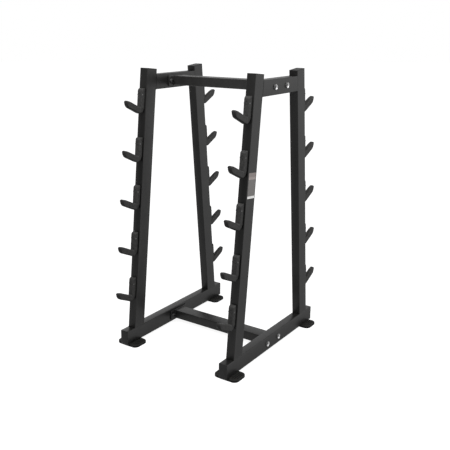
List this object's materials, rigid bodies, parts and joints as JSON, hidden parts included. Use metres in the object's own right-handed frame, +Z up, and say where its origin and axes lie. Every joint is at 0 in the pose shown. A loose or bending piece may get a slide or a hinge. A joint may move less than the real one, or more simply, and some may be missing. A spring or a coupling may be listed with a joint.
{
  "type": "barbell storage rack",
  "caption": "Free-standing frame of rectangular steel tube with leaning uprights, crossbars and rising hooks on the front and rear that hold fixed barbells.",
  "frame": {"origin": "on the floor, under the middle of the rack", "axes": "+Z up, X across from one side frame to the other, Y from front to back; the picture looks from +X and -Y"},
  "size_m": [0.802, 1.0142, 1.5172],
  "materials": {
    "frame_paint": "semi-gloss charcoal powder coat",
    "hook_nylon": "fine-grained moulded nylon, dark grey",
    "foot_rubber": "matte black rubber",
    "cap_plastic": "satin black plastic",
    "bolt_steel": "bright zinc-plated steel",
    "sticker_vinyl": "plain vinyl, blank"
  },
  "bodies": {
    "root": {"left_front_upright": "frame_paint", "left_front_upright_cap": "cap_plastic", "left_front_hook_1": "hook_nylon", "left_front_hook_2": "hook_nylon", "left_front_hook_3": "hook_nylon", "left_front_hook_4": "hook_nylon", "left_front_hook_5": "hook_nylon", "left_rear_upright": "frame_paint", "left_rear_upright_cap": "cap_plastic", "left_rear_hook_1": "hook_nylon", "left_rear_hook_2": "hook_nylon", "left_rear_hook_3": "hook_nylon", "left_rear_hook_4": "hook_nylon", "left_rear_hook_5": "hook_nylon", "left_floor_rail": "frame_paint", "left_top_rail": "frame_paint", "left_front_rail_cap": "cap_plastic", "left_front_foot": "foot_rubber", "left_lower_front_bolt": "bolt_steel", "left_lower_front_nut": "bolt_steel", "left_upper_front_bolt": "bolt_steel", "left_upper_front_nut": "bolt_steel", "left_rear_rail_cap": "cap_plastic", "left_rear_foot": "foot_rubber", "left_lower_rear_bolt": "bolt_steel", "left_lower_rear_nut": "bolt_steel", "left_upper_rear_bolt": "bolt_steel", "left_upper_rear_nut": "bolt_steel", "right_front_upright": "frame_paint", "right_front_upright_cap": "cap_plastic", "right_front_hook_1": "hook_nylon", "right_front_hook_2": "hook_nylon", "right_front_hook_3": "hook_nylon", "right_front_hook_4": "hook_nylon", "right_front_hook_5": "hook_nylon", "right_rear_upright": "frame_paint", "right_rear_upright_cap": "cap_plastic", "right_rear_hook_1": "hook_nylon", "right_rear_hook_2": "hook_nylon", "right_rear_hook_3": "hook_nylon", "right_rear_hook_4": "hook_nylon", "right_rear_hook_5": "hook_nylon", "right_floor_rail": "frame_paint", "right_top_rail": "frame_paint", "right_front_rail_cap": "cap_plastic", "right_front_foot": "foot_rubber", "right_lower_front_bolt": "bolt_steel", "right_lower_front_nut": "bolt_steel", "right_upper_front_bolt": "bolt_steel", "right_upper_front_nut": "bolt_steel", "right_rear_rail_cap": "cap_plastic", "right_rear_foot": "foot_rubber", "right_lower_rear_bolt": "bolt_steel", "right_lower_rear_nut": "bolt_steel", "right_upper_rear_bolt": "bolt_steel", "right_upper_rear_nut": "bolt_steel", "lower_crossbar": "frame_paint", "upper_crossbar": "frame_paint", "blank_sticker": "sticker_vinyl"}
  },
  "joints": []
}
